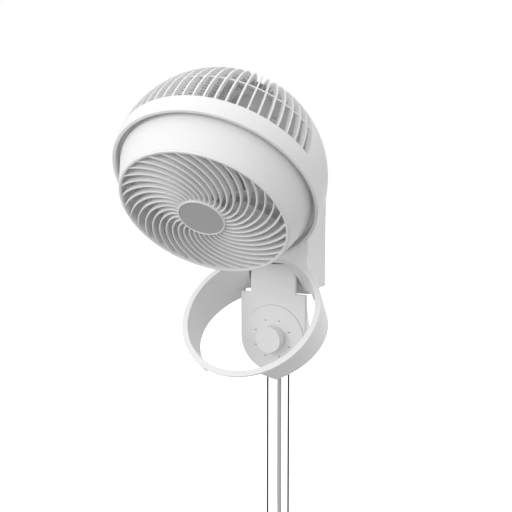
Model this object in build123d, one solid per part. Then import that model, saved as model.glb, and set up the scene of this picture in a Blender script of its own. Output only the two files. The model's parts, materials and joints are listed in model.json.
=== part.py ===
"""Wall-mounted air circulator fan: a ball-shaped head on an arm that ends in a hoop and swings on a wall box.

Millimetres. The origin is the centre of the wall screws on the wall's surface, +Z is up, +Y goes into
the wall, and the fan blows towards -Y. The head is modelled in its own frame, +Z out of the front grille,
and then placed.
"""

import os
from math import cos, radians, sin, sqrt, tan

from build123d import *

os.makedirs("parts", exist_ok=True)

# Fits and walls
body_gap = 0.4  # between bodies that pass each other
slip = 0.05  # radial clearance of a shaft in its bush
seat = 0.02  # radial clearance of what sits tight on a shaft
wall = 2.6  # moulded walls
seam = 0.3  # between parts of one body that only lie close

# Hoop and arm, one moulding that swings with the head
hoop_centre_y = -172.0
hoop_centre_z = 83.0
hoop_tilt = 41.4  # the hoop's front face looks this far up
hoop_r = 103.2
hoop_wall = 9.0
hoop_bore_r = hoop_r - hoop_wall
hoop_edge_r = 0.8
hoop_draft = 5.4
hoop_bore_draft = 2.0
hoop_depth = 120.0  # before its rear edge is cut
hoop_flange = 3.0  # front flange that closes the notch at the bottom
notch_front_half = 43.0
notch_back_half = 58.0
notch_depth = 45.0
notch_top_v = 33.2 - hoop_r  # top of the notch below the hoop's middle
flare_r = 40.0  # fillet from the arm's side into the hoop
arm_half_w = 60.5
arm_front_y = -105.0
arm_back_y = -31.0
arm_bottom_z = 105.0
arm_top_z = 255.0
arm_step_y = -80.0  # in front of this the arm is lower, for the tilt joint
arm_step_z = 233.0
arm_wall = 3.0
arm_edge_r = 3.0
cover_t = 2.4
cover_post_r = 5.0
back_cut_drop = 0.648  # fall of the hoop's rear edge for each millimetre forwards
back_lip = 6.0  # the hoop's rear edge ends this far in front of the arm's back
back_rise_y = -70.0  # behind this the rear edge climbs steeply to the arm's foot
back_foot_y = -63.0
skirt_half_w = 38.0  # low lip under the arm's back, which hides the gap above the box
skirt_bottom_z = 91.0

# Swing axis
pan_y = -77.0
pan_cavity_r = 41.2
pan_ceiling_z = 145.0
pan_ceiling_t = 4.0
pan_tube_r = 9.0
pan_tube_wall = 3.0
pan_core_wall = 2.4
pan_flange_r = 24.0
pan_flange_t = 4.0
coupling_gap = 8.0  # from the box's top to the coupling's top
coupling_t = 5.0
swing_shaft_r = 3.5
swing_motor_drop = 6.0  # from the box's top to the swing motor's top
thrust_t = 2.0
thrust_r = 24.0

# Tilt axis
tilt_y = -97.0
tilt_z = 255.0
tilt_barrel_r = 13.0
tilt_barrel_half = 17.0
ear_t = 10.0
tilt_pin_r = 4.0
tilt_pad_r = 31.0
tilt_pad_t = 4.0
tilt_neck_half = 12.0
bracket_screw_r = 1.7

# Head
ball_r = 140.5
ball_wall = 2.5
tilt_stand = 31.11  # from the ball's skin to the tilt axis
tilt_line = 6.52  # the ball's centre is this far above the tilt axis, as an angle
tilt_reach = ball_r + tilt_stand
head_y = tilt_y - tilt_reach * cos(radians(tilt_line))
head_z = tilt_z + tilt_reach * sin(radians(tilt_line))
head_tilt = 44.35  # the head looks this far down
rim_z = 23.8
rim_wall = 4.4
lip_r = sqrt(ball_r**2 - rim_z**2)
channel_gap = 5.9  # between the lip and the nozzle
channel_z = 10.5  # floor of the channel round the nozzle
channel_t = 2.5
guard_edge_z = 3.0  # seam between the rear guard and the shroud
rib_pitch = 5.625
rib_t = 2.2
rib_depth = 7.5
top_slots = 26  # slots of the wide ribbed sector on top
low_slots_angle = 140.0  # middle of each of the two lower ribbed sectors
low_slots = 6
rear_cap_angle = 24.0  # the ribs start this far from the head's rear pole
slot_back_z = -ball_r * cos(radians(rear_cap_angle))
tie_angle = 69.0  # the ring that ties the rear ribs together
tie_w = 3.0
tie_inset = 0.6

# Nozzle and front grille
nozzle_base_r = lip_r - rim_wall - channel_gap
nozzle_base_z = 21.7
nozzle_taper = 15.0
nozzle_tip_r = nozzle_base_r - nozzle_taper
nozzle_tip_z = 63.9
nozzle_wall = 2.5
grille_rim_step = 0.6  # the grille's rim is this much smaller than the nozzle's tip
grille_rim_w = 3.7
grille_rim_r = nozzle_tip_r - grille_rim_step
grille_rim_bore_r = grille_rim_r - grille_rim_w
grille_rim_z = 66.4
grille_skirt_z = 56.0
grille_hub_r = 31.6
grille_hub_z = 71.8
grille_hub_wall = 2.2
grille_ribs = 34
grille_rib_angle = 2.4  # each rib's width, as an angle about the axis
grille_rib_sweep = 56.0  # turn of a rib from hub to rim
grille_rib_bulge = 3.0  # how far its middle lags behind half the turn
cap_t = 3.2
cap_recess = 0.6

# Motor and impeller
motor_r = 44.0
motor_front_z = 2.0
motor_back_z = -50.0
stator_r = 42.0
stator_bore_r = 22.2
rotor_r = 21.5
shaft_r = 4.0
bearing_r = 9.0
bearing_w = 6.0
mount_arm_w = 12.0
mount_arm_t = 6.0
mount_ring_w = 12.0
mount_ring_gap = 6.0  # between the carrier's ring and the ball's skin
mount_ring_r = ball_r - ball_wall - mount_ring_gap
mount_ring_bore_r = mount_ring_r - mount_ring_w
impeller_tip_gap = 5.2
impeller_r = nozzle_tip_r - impeller_tip_gap
channel_bore_r = impeller_r + 4.0
impeller_hub_r = 30.0
impeller_back_z = 14.0
impeller_front_z = 46.0
impeller_wall = 2.5
blade_count = 5
blade_t = 2.4
blade_sections = [  # radius, chord and pitch angle from root to tip
    (impeller_hub_r - 1.0, 38.0, 40.0),
    (0.63 * impeller_r, 58.0, 29.0),
    (impeller_r - 4.5, 62.0, 21.0),
]

# Wall box
box_front_y = -91.0
box_half_w = 54.5
box_top_z = 100.0
box_arc_z = 31.2
box_split_y = -76.0
box_draft = 24.0
box_back_y = -3.0
box_back_half_w = 26.0
box_back_top_z = 27.0
box_back_arc_z = 3.0
box_edge_r = 3.0
neck_half_w = 38.3
neck_back_half_w = 23.0
neck_back_y = -56.0
neck_edge_r = 3.0

# Control panel
plate_r = 49.2
plate_proud = 1.5
plate_t = 3.5
panel_web = 2.5
knob_z = 30.0
knob_r = 19.6
knob_h = 17.1
spindle_r = 3.0
mark_circle_r = 29.1
mark_count = 8
mark_w = 2.6
mark_h = 1.1
mark_t = 0.2

# Neck, and what is inside the box
neck_top_z = pan_ceiling_z - thrust_t
neck_core_z = box_arc_z + plate_r + 2.0
neck_split_z = box_top_z + 1.0
bush_wall = 2.5
coupling_top = box_top_z + coupling_gap
motor_top_z = box_top_z - swing_motor_drop
switch_front_y = box_front_y + plate_t - plate_proud + panel_web
switch_half = 14.0
switch_depth = 16.0
swing_motor_half_w = 18.0
swing_motor_h = 20.0
swing_motor_back_y = -60.5
board_half_w = 24.0
board_front_y = -50.0
board_t = 1.6
capacitor_half_w = 17.0
capacitor_d = 16.4
case_screw_x = 30.0
case_screw_r = 1.6

# Wall bracket, with the hook and the lug that hold the box
bracket_t = 3.0
screw_spacing_x = 28.0
screw_spacing_z = 26.0
screw_hole_r = 2.4
window_edge = 5.0  # rim of the box's back round the window for the bracket
window_top_z = 18.0
window_depth = 20.0
hook_half_w = 7.0
hook_z = 12.0
hook_top_z = 21.0
hook_t = 2.0
hook_back_y = -9.0
lug_half_w = 8.0
lug_z = -15.5
lock_screw_y = -13.0
lock_screw_r = 1.5

# Pull cords
pull_x = 17.2
pull_y = -70.0
pull_cord_r = 1.3
pull_top_z = -5.0
pull_bottom_z = -255.0
pull_bell_h = 28.0
pull_bell_r = 7.5
guide_bore_r = 2.4
guide_r = 5.0
guide_flange_z = -19.0
guide_flange_t = 2.0
guide_top_z = -6.5
pull_case_w = 18.0
pull_case_h = 20.0

# Power cord
cord_d = 6.5
cord_y = -65.0
gland_top_z = -6.0
gland_tip_z = -29.0
gland_r = 6.5
gland_tip_r = 4.2
gland_flange_r = 9.0
gland_flange_z = -12.0
gland_sleeve_z = -18.0
coil_r = 36.0
coil_bundle_r = 10.0
coil_centre_x = 0.8
coil_centre_z = -345.2
cord_turn_z = -295.0
cord_joint = (-24.7, -319.7)
tail_bottom_z = -411.0
plug_h = 34.0
plug_w = 25.0
plug_d = 19.0
pin_pitch = 12.7
pin_t = 1.5
pin_w = 6.4
pin_h = 17.0
tie_band_w = 9.0
tie_band_t = 1.6

hoop_plane = Plane(
    origin=(0, hoop_centre_y, hoop_centre_z),
    x_dir=(1, 0, 0),
    z_dir=(0, -cos(radians(hoop_tilt)), sin(radians(hoop_tilt))),
)
head_plane = Plane(
    origin=(0, head_y, head_z),
    x_dir=(1, 0, 0),
    z_dir=(0, -cos(radians(head_tilt)), -sin(radians(head_tilt))),
)


def disc(r, z0, z1, x=0.0, y=0.0):
    """A round plate or rod between two heights."""
    return Pos(x, y, (z0 + z1) / 2) * Cylinder(r, z1 - z0)


def ring(r_out, r_in, z0, z1, x=0.0, y=0.0):
    """A round tube between two heights."""
    return disc(r_out, z0, z1, x, y) - disc(r_in, z0, z1, x, y)


def block(x0, x1, y0, y1, z0, z1):
    """A box between two corners."""
    return Pos((x0 + x1) / 2, (y0 + y1) / 2, (z0 + z1) / 2) * Box(x1 - x0, y1 - y0, z1 - z0)


def front_plane(y):
    """A vertical plane at depth y, looking to the front: its X is +X and its Y is +Z."""
    return Plane(origin=(0, y, 0), x_dir=(1, 0, 0), z_dir=(0, -1, 0))


def rod_x(r, half, y, z):
    """A rod across the object, centred on X = 0."""
    return Pos(0, y, z) * Rot(0, 90, 0) * Cylinder(r, 2 * half)


def rod_y(r, y0, y1, x, z):
    """A rod along Y."""
    return Pos(x, (y0 + y1) / 2, z) * Rot(90, 0, 0) * Cylinder(r, y1 - y0)


def side_cut(points, half=200.0):
    """A prism across the object whose side view is the given polygon of (y, z) points."""
    face = make_face(Polyline(*[(y, z) for y, z in points], close=True))
    return extrude(Plane.YZ * face, amount=half, both=True)


def revolved(points):
    """A solid of revolution about Z from (r, z) points."""
    face = make_face(Polyline(*[(r, z) for r, z in points], close=True))
    return revolve(Plane.XZ * face, Axis.Z)


def save(shape, name):
    """Write one node."""
    export_step(shape, f"parts/{name}.step")


# ---------------------------------------------------------------- arm, hoop and swing joint


def back_cut_z(y):
    """Height of the hoop's rear edge, a sloping plane that starts at the arm's lower rear corner."""
    return arm_bottom_z + (y - (arm_back_y - back_lip)) * back_cut_drop


def hoop_outline():
    """The hoop's outside with the flares that run up into the arm's sides, in the hoop's plane."""
    corner_u = arm_half_w + flare_r
    corner_v = sqrt((hoop_r + flare_r) ** 2 - corner_u**2)
    touch = hoop_r / (hoop_r + flare_r)
    points = [(0, 0), (corner_u * touch, corner_v * touch), (corner_u, corner_v), (0, corner_v)]
    corner = make_face(Polyline(*points, close=True)) - Pos(corner_u, corner_v) * Circle(flare_r)
    side = make_face(Polyline((0, 0), (arm_half_w, 0), (arm_half_w, corner_v), (0, corner_v), close=True))
    half = corner + side
    return Circle(hoop_r) + half + mirror(half, Plane.YZ)


def hoop_notch():
    """The gap in the band at the bottom of the hoop, behind its front flange."""
    far = notch_top_v - 60.0
    back = Rectangle(2 * notch_back_half, notch_top_v - far)
    front = Rectangle(2 * notch_front_half, notch_top_v - far)
    middle = (notch_top_v + far) / 2
    sections = [Pos(0, middle, -hoop_flange) * front, Pos(0, middle, -hoop_flange - notch_depth) * back]
    return hoop_plane * loft(sections)


def hoop_bore(extra=0.0):
    """The space inside the hoop, which also hollows the foot of the arm. extra makes it wider."""
    reach = 150.0
    r_front = hoop_bore_r + extra
    r_back = r_front - reach * tan(radians(hoop_bore_draft))
    return hoop_plane * Pos(0, 0, -reach / 2) * Cone(r_back, r_front, reach)


def yoke_frame():
    """Arm, hoop and the two ears of the tilt joint in one moulding, open at the back of the arm."""
    band = hoop_plane * extrude(hoop_outline(), amount=-hoop_depth, taper=hoop_draft)
    band = fillet(front_edges(band), hoop_edge_r)
    low = hoop_centre_z - hoop_r
    keep = side_cut(
        [
            (hoop_centre_y - hoop_depth, back_cut_z(hoop_centre_y - hoop_depth)),
            (back_rise_y, back_cut_z(back_rise_y)),
            (back_foot_y, arm_bottom_z),
            (arm_back_y - back_lip, arm_bottom_z),
            (arm_back_y - back_lip, arm_top_z),
            (hoop_centre_y - hoop_depth, arm_top_z),
        ]
    )
    band = band & keep
    column = side_cut(
        [
            (arm_front_y, arm_bottom_z),
            (arm_back_y, arm_bottom_z),
            (arm_back_y, arm_top_z),
            (arm_step_y, arm_top_z),
            (arm_step_y, arm_step_z),
            (arm_front_y, arm_step_z),
        ],
        arm_half_w,
    )
    upright = column.edges().filter_by(Axis.X).sort_by(Axis.Z)[-4:]
    column = fillet(upright, arm_edge_r)
    solid = band + column
    solid = solid - hoop_bore() - hoop_notch()
    solid = fillet(front_edges(solid).filter_by(GeomType.CIRCLE).sort_by(SortBy.RADIUS)[0], hoop_edge_r)
    solid = solid - disc(pan_cavity_r, low, pan_ceiling_z, 0, pan_y)
    box_sweep_r = sqrt(box_half_w**2 + (pan_y - box_front_y) ** 2) + body_gap
    solid = solid - disc(box_sweep_r, low, box_top_z + body_gap, 0, pan_y)
    skirt_top_z = arm_bottom_z + arm_wall
    skirt = block(-skirt_half_w, skirt_half_w, arm_back_y - back_lip, arm_back_y, skirt_bottom_z, skirt_top_z)
    solid = solid + (skirt - disc(pan_cavity_r, low, pan_ceiling_z, 0, pan_y))
    return solid - arm_pocket() + tilt_ears() - rod_x(tilt_pin_r, arm_half_w, tilt_y, tilt_z) - hub_hole()


def front_edges(solid):
    """The edges that lie in the hoop's front plane."""
    return solid.edges().filter_by(lambda e: abs(hoop_plane.to_local_coords(e @ 0.5).Z) < 0.01)


def in_front_of_arm():
    """The space in front of the plane of the arm's front face, as high as the hoop reaches."""
    return block(-2 * hoop_r, 2 * hoop_r, 4 * hoop_centre_y, arm_front_y, -hoop_r, hoop_centre_z + hoop_r)


def arm_frame():
    """The arm, with the rear ends of the hoop's band."""
    return yoke_frame() - in_front_of_arm()


def hoop():
    """The hoop, up to the plane of the arm's front face."""
    return yoke_frame() & in_front_of_arm()


def arm_pocket():
    """The hollow of the arm behind its front wall, above the swing cavity."""
    inside = arm_half_w - arm_wall
    hollow = side_cut(
        [
            (arm_front_y + arm_wall, arm_bottom_z + arm_wall),
            (arm_back_y, arm_bottom_z + arm_wall),
            (arm_back_y, arm_top_z - arm_wall),
            (arm_step_y + arm_wall, arm_top_z - arm_wall),
            (arm_step_y + arm_wall, arm_step_z - arm_wall),
            (arm_front_y + arm_wall, arm_step_z - arm_wall),
        ],
        inside,
    )
    core = disc(pan_cavity_r + pan_core_wall, 0.0, pan_ceiling_z + pan_ceiling_t, 0, pan_y)
    hollow = hollow - core - hoop_bore(arm_wall)
    for x, z in cover_screw_places():
        hollow = hollow - rod_y(cover_post_r, arm_front_y, arm_back_y, x, z)
    return hollow


def tilt_ears():
    """Two ears that stand on the step of the arm and hold the tilt pin."""
    ears = None
    for side in (-1, 1):
        x0 = side * (tilt_barrel_half + body_gap)
        x1 = side * (tilt_barrel_half + body_gap + ear_t)
        left, right = min(x0, x1), max(x0, x1)
        centre = (left + right) / 2
        head = Pos(centre, tilt_y, tilt_z) * Rot(0, 90, 0) * Cylinder(tilt_barrel_r, ear_t)
        leg = block(left, right, arm_front_y, arm_step_y, arm_step_z - arm_wall, tilt_z)
        leg = leg & block(left, right, tilt_y - tilt_barrel_r, arm_step_y, 0, tilt_z)
        ear = head + leg
        ears = ear if ears is None else ears + ear
    return ears


def hub_hole():
    """The hole in the cavity's ceiling for the swing tube."""
    return disc(pan_tube_r + slip, pan_ceiling_z - 1.0, pan_ceiling_z + pan_ceiling_t + 1.0, 0, pan_y)


def cover_screw_places():
    """Centres of the four screws of the arm's rear cover, as (x, z)."""
    x = arm_half_w - arm_wall - 0.6 * cover_post_r
    return [(sx * x, z) for sx in (-1, 1) for z in (arm_bottom_z + 60.0, arm_top_z - 14.0)]


def arm_cover():
    """The flat rear cover of the arm."""
    half = arm_half_w - arm_wall - seam
    low = arm_bottom_z + arm_wall + seam
    high = arm_top_z - arm_wall - seam
    plate = block(-half, half, arm_back_y - cover_t, arm_back_y, low, high)
    for x, z in cover_screw_places():
        plate = plate - rod_y(cover_post_r + seam, arm_back_y - cover_t, arm_back_y, x, z)
    return plate


def swing_hub():
    """The flanged tube that hangs the arm on the box's neck and turns in its bush."""
    top = pan_ceiling_z + pan_ceiling_t
    flange = ring(pan_flange_r, pan_tube_r - pan_tube_wall, top, top + pan_flange_t, 0, pan_y)
    tube = ring(pan_tube_r, pan_tube_r - pan_tube_wall, coupling_top, top + pan_flange_t, 0, pan_y)
    return flange + tube


def swing_coupling():
    """The disc under the swing tube, with the socket that the swing motor's shaft drives."""
    return ring(pan_tube_r, swing_shaft_r, coupling_top - coupling_t, coupling_top, 0, pan_y)


def swing_shaft():
    """The swing motor's output shaft, which turns with the arm."""
    return disc(swing_shaft_r, motor_top_z - 6.0, coupling_top, 0, pan_y)


def hub_screws():
    """Three screws that hold the swing tube's flange to the arm's floor."""
    screws = []
    for k in range(3):
        place = Pos(0, pan_y, 0) * Rot(0, 0, 60 + 120 * k) * Pos((pan_tube_r + pan_flange_r) / 2, 0, 0)
        top = pan_ceiling_z + pan_ceiling_t + pan_flange_t
        screws.append(place * disc(3.5, top, top + 2.2))
    return Compound(screws)


def thrust_washer():
    """The washer between the neck's top and the cavity's ceiling."""
    return ring(thrust_r, pan_tube_r + slip, pan_ceiling_z - thrust_t, pan_ceiling_z, 0, pan_y)


# ---------------------------------------------------------------- head


def ball_shell(z0, z1):
    """The ball's skin between two heights of the head's own frame."""
    skin = Sphere(ball_r) - Sphere(ball_r - ball_wall)
    return skin & disc(ball_r + 1.0, z0, z1)


def ribbed_sector(half_angle, turn=0.0):
    """A wedge about the head's axis where the rear guard is ribbed, turned from the top by an angle."""
    angle = radians(half_angle)
    reach = 2 * ball_r
    points = [
        (0, 0),
        (-reach * sin(angle), reach * cos(angle)),
        (-reach * sin(angle), reach),
        (reach * sin(angle), reach),
        (reach * sin(angle), reach * cos(angle)),
    ]
    return Rot(0, 0, turn) * extrude(make_face(Polyline(*points, close=True)), amount=-reach)


def rear_slot(turn):
    """The gap between two ribs, a wedge at an angle from the head's top."""
    half = radians(rib_pitch / 2)
    apex = rib_t / 2 / sin(half)
    reach = 2 * ball_r
    spread = (reach - apex) * tan(half)
    face = make_face(Polyline((0, apex), (-spread, reach), (spread, reach), close=True))
    return Pos(0, 0, slot_back_z) * Rot(0, 0, turn) * extrude(face, amount=-slot_back_z)


def rear_guard():
    """The rear half of the ball, with its ribs: a wide sector on top and two narrow ones below."""
    guard = ball_shell(-ball_r, guard_edge_z)
    thick = Sphere(ball_r - 0.5 * ball_wall) - Sphere(ball_r - rib_depth)
    tie_z = -ball_r * cos(radians(tie_angle))
    tie_inner = ball_r - rib_depth + tie_inset
    tie = Sphere(tie_inner + tie_w) - Sphere(tie_inner)
    tie = tie & disc(ball_r, tie_z - tie_w / 2, tie_z + tie_w / 2)
    sectors = [(0.0, top_slots)]
    sectors += [(side * low_slots_angle, low_slots) for side in (-1, 1)]
    ties = []
    for turn, count in sectors:
        half_angle = (count / 2 + 0.5) * rib_pitch
        sector = ribbed_sector(half_angle, turn) & disc(ball_r, slot_back_z - 2.0, guard_edge_z)
        guard = guard + (thick & sector)
        first = turn - (count - 1) / 2 * rib_pitch
        guard = guard - [rear_slot(first + k * rib_pitch) for k in range(count)]
        ties.append(tie & ribbed_sector(half_angle - rib_pitch / 4, turn))
    return guard + ties - bracket_screw_holes()


def head_shroud():
    """The band round the ball's edge, its front lip and the channel that the nozzle stands in."""
    band = ball_shell(guard_edge_z, rim_z)
    inner = ring(lip_r - rim_wall + 2.0, lip_r - rim_wall, channel_z - channel_t, rim_z)
    lip = ring(lip_r - 1.0, lip_r - rim_wall, rim_z - 2.5, rim_z)
    floor = ring(lip_r - rim_wall + 2.0, channel_bore_r, channel_z - channel_t, channel_z)
    return band + inner + lip + floor


def nozzle():
    """The tapered barrel that the air leaves through."""
    return revolved(
        [
            (nozzle_base_r, channel_z),
            (nozzle_base_r, nozzle_base_z),
            (nozzle_tip_r, nozzle_tip_z),
            (nozzle_tip_r - nozzle_wall, nozzle_tip_z),
            (nozzle_base_r - nozzle_wall, nozzle_base_z),
            (nozzle_base_r - nozzle_wall, channel_z),
        ]
    )


def polar(r, angle):
    """A point at radius r and an angle in degrees."""
    return (r * cos(radians(angle)), r * sin(radians(angle)))


def grille_rib():
    """One swirling rib of the front grille, drawn flat: its two edges are the same arc, turned a little."""
    half = grille_rib_angle / 2
    r0 = grille_hub_r - 1.0
    r1 = grille_rim_bore_r + 1.0
    r_mid = (r0 + r1) / 2
    ends = []
    for turn in (-half, half):
        middle = polar(r_mid, grille_rib_sweep / 2 - grille_rib_bulge + turn)
        ends.append(ThreePointArc(polar(r0, turn), middle, polar(r1, grille_rib_sweep + turn)))
    close0 = Line(ends[0] @ 0, ends[1] @ 0)
    close1 = Line(ends[0] @ 1, ends[1] @ 1)
    return make_face([ends[0], close1, ends[1], close0])


def front_grille():
    """Rim, hub and swirl of ribs."""
    rim = revolved(
        [
            (grille_rim_bore_r, grille_skirt_z),
            (nozzle_tip_r - nozzle_wall - seam, grille_skirt_z),
            (nozzle_tip_r - nozzle_wall - seam, nozzle_tip_z),
            (grille_rim_r, nozzle_tip_z),
            (grille_rim_r, grille_rim_z),
            (grille_rim_bore_r, grille_rim_z),
        ]
    )
    cap_floor = grille_hub_z - cap_recess - cap_t
    hub = ring(grille_hub_r, grille_hub_r - grille_hub_wall, 60.0, grille_hub_z)
    hub = hub + disc(grille_hub_r, cap_floor - 2.0, cap_floor)
    rib = extrude(grille_rib(), amount=20.0)
    ribs = [Rot(0, 0, k * 360.0 / grille_ribs) * Pos(0, 0, 54.0) * rib for k in range(grille_ribs)]
    lens = revolved(
        [
            (grille_hub_r - 1.5, 60.0),
            (grille_rim_bore_r + 1.5, grille_skirt_z + 1.0),
            (grille_rim_bore_r + 1.5, grille_rim_z - 1.0),
            (grille_hub_r - 1.5, grille_hub_z - 1.5),
        ]
    )
    web = Compound(ribs) & lens
    return rim + hub + web.solids()


def centre_cap():
    """The flat round cap in the middle of the grille."""
    top = grille_hub_z - cap_recess
    return disc(grille_hub_r - grille_hub_wall, top - cap_t, top)


def motor_mount():
    """The four-armed carrier that holds the motor behind the impeller."""
    z0 = motor_front_z
    z1 = motor_front_z + mount_arm_t
    solid = ring(mount_ring_r, mount_ring_bore_r, z0, z1)
    arm = block(30.0, mount_ring_bore_r + 2.0, -mount_arm_w / 2, mount_arm_w / 2, z0, z1)
    for k in range(4):
        solid = solid + Rot(0, 0, 45 + 90 * k) * arm
    solid = solid + disc(motor_r, z0, z0 + 3.0)
    return solid - disc(bearing_r + 3.0, z0 - 1.0, z1 + 1.0)


def motor_bracket(front):
    """One of the two cups that hold the stator and a bearing."""
    middle = (motor_front_z + motor_back_z) / 2
    face, inner = (motor_front_z, -1) if front else (motor_back_z, 1)
    z = sorted([face, face + inner * 3.0])
    skin = sorted([face, middle])
    boss = sorted([face, face + inner * 10.0])
    seat = sorted([face + inner * 4.0, face + inner * (4.0 + bearing_w)])
    cup = disc(motor_r, *z) + ring(motor_r, stator_r, *skin) + disc(bearing_r + 2.0, *boss)
    return cup - disc(bearing_r, *seat) - disc(shaft_r + 1.5, motor_back_z - 1.0, motor_front_z + 1.0)


def motor_bearings():
    """Two ball bearings, one in each cup."""
    front = ring(bearing_r, shaft_r + seat, motor_front_z - 4.0 - bearing_w, motor_front_z - 4.0)
    rear = ring(bearing_r, shaft_r + seat, motor_back_z + 4.0, motor_back_z + 4.0 + bearing_w)
    return Compound([front, rear])


def stator():
    """The laminated stack."""
    return ring(stator_r, stator_bore_r, -36.0, -12.0)


def windings():
    """The two rings of coil ends, on the faces of the stack."""
    return Compound([ring(38.0, 24.5, -12.0, -5.0), ring(38.0, 24.5, -43.0, -36.0)])


def motor_screws():
    """Four screws through the motor's front cup into the carrier."""
    screws = [polar(36.0, 90 * k) for k in range(4)]
    return Compound([disc(3.0, motor_front_z + 3.0, motor_front_z + 5.0, x, y) for x, y in screws])


def rotor():
    """The squirrel-cage rotor."""
    return ring(rotor_r, shaft_r + seat, -37.0, -11.0)


def motor_shaft():
    """The shaft, from the rear bearing to the impeller's nut."""
    return disc(shaft_r, motor_back_z - 2.0, impeller_front_z + 8.0)


def blade():
    """One twisted blade: a loft from a steep root to a flat tip."""
    middle = (impeller_back_z + impeller_front_z) / 2
    sections = []
    for r, chord, pitch in blade_sections:
        plane = Plane(origin=(r, 0, middle), x_dir=(0, 1, 0), z_dir=(1, 0, 0))
        sections.append(plane * Rot(0, 0, pitch) * RectangleRounded(chord, blade_t, blade_t / 2 - 0.05))
    return loft(sections)


def impeller():
    """Hub cup, boss and blades."""
    hub = disc(impeller_hub_r, impeller_back_z, impeller_front_z)
    hub = hub - disc(impeller_hub_r - impeller_wall, impeller_back_z, impeller_front_z - impeller_wall)
    solid = hub + disc(9.0, impeller_back_z + 4.0, impeller_front_z)
    solid = solid + [Rot(0, 0, k * 360.0 / blade_count) * blade() for k in range(blade_count)]
    return solid - disc(shaft_r + seat, impeller_back_z, impeller_front_z)


def impeller_nut():
    """The grip nut that holds the impeller on the shaft."""
    return ring(9.0, shaft_r + seat, impeller_front_z, impeller_front_z + 7.0)


def tilt_frame():
    """A plane at the ball's centre whose Z runs to the tilt axis."""
    down = radians(tilt_line)
    return Plane(origin=(0, head_y, head_z), x_dir=(1, 0, 0), z_dir=(0, cos(down), -sin(down)))


def tilt_bracket():
    """The knuckle screwed to the back of the ball, with the barrel that turns between the arm's ears."""
    inside = ball_r - 40.0
    pad = disc(tilt_pad_r, inside, ball_r + tilt_pad_t) & Sphere(ball_r + tilt_pad_t)
    half = tilt_barrel_half
    neck = block(-half, half, -tilt_neck_half, tilt_neck_half, inside, tilt_reach)
    barrel = Pos(0, 0, tilt_reach) * Rot(0, 90, 0) * Cylinder(tilt_barrel_r, 2 * tilt_barrel_half)
    solid = pad + neck + barrel - Sphere(ball_r)
    bore = Pos(0, 0, tilt_reach) * Rot(0, 90, 0) * Cylinder(tilt_pin_r + slip, 3 * tilt_barrel_half)
    return tilt_frame() * (solid - bore)


def bracket_screw_places():
    """Angles of the knuckle's four screws round its pad."""
    return [45.0, 135.0, 225.0, 315.0]


def bracket_screw_holes():
    """Clearance through the ball's skin for the knuckle's screws, in the head's frame."""
    hole = disc(bracket_screw_r + 0.1, ball_r - 40.0, ball_r + 8.0)
    holes = [Pos(*polar(tilt_pad_r - 7.0, a), 0) * hole for a in bracket_screw_places()]
    return [head_plane.location.inverse() * (tilt_frame().location * hole) for hole in holes]


def bracket_screws():
    """Four screws from inside the ball into the knuckle's pad."""
    inner = ball_r - ball_wall
    screws = []
    for a in bracket_screw_places():
        x, y = polar(tilt_pad_r - 7.0, a)
        face = sqrt(inner**2 - (tilt_pad_r - 7.0) ** 2)
        head = disc(3.4, face - 4.5, face - 1.5, x, y)
        stem = disc(bracket_screw_r, face - 2.0, face + 3.2, x, y)
        screws.append(tilt_frame() * (head + stem))
    return Compound(screws)


# ---------------------------------------------------------------- tilt pin on the arm


def tilt_pin():
    """The bolt through both ears and the knuckle, with its head."""
    half = tilt_barrel_half + body_gap + ear_t
    head = Rot(0, 90, 0) * Cylinder(2 * tilt_pin_r, 5.0)
    return rod_x(tilt_pin_r, half, tilt_y, tilt_z) + Pos(half + 2.5, tilt_y, tilt_z) * head


def tilt_nut():
    """The nut on the bolt's other end."""
    half = tilt_barrel_half + body_gap + ear_t
    nut = Rot(0, 90, 0) * extrude(RegularPolygon(7.5, 6), amount=6.0)
    return Pos(-half - 6.0, tilt_y, tilt_z) * nut


# ---------------------------------------------------------------- wall box


def box_outline(half_w, top_z, arc_z):
    """The box's front view: straight sides, flat top, round bottom."""
    return (
        Pos(0, (top_z + arc_z) / 2) * Rectangle(2 * half_w, top_z - arc_z) + Pos(0, arc_z) * Circle(half_w)
    )


def front_block(inset, front):
    """The front part of the box as a solid, smaller all round by inset, from the plane front."""
    depth = box_split_y - front
    lean = tan(radians(box_draft))
    narrow = inset + (front - box_front_y) * lean
    outline = box_outline(box_half_w - narrow, box_top_z - narrow, box_arc_z)
    return extrude(front_plane(front) * outline, amount=-depth, taper=box_draft)


def neck_outline(inset):
    """The neck in plan: flat in front, narrower behind."""
    y0 = box_front_y + inset
    y1 = neck_back_y - inset
    w0 = neck_half_w - inset
    w1 = neck_back_half_w - inset
    return make_face(Polyline((-w0, y0), (w0, y0), (w1, y1), (-w1, y1), close=True))


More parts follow.
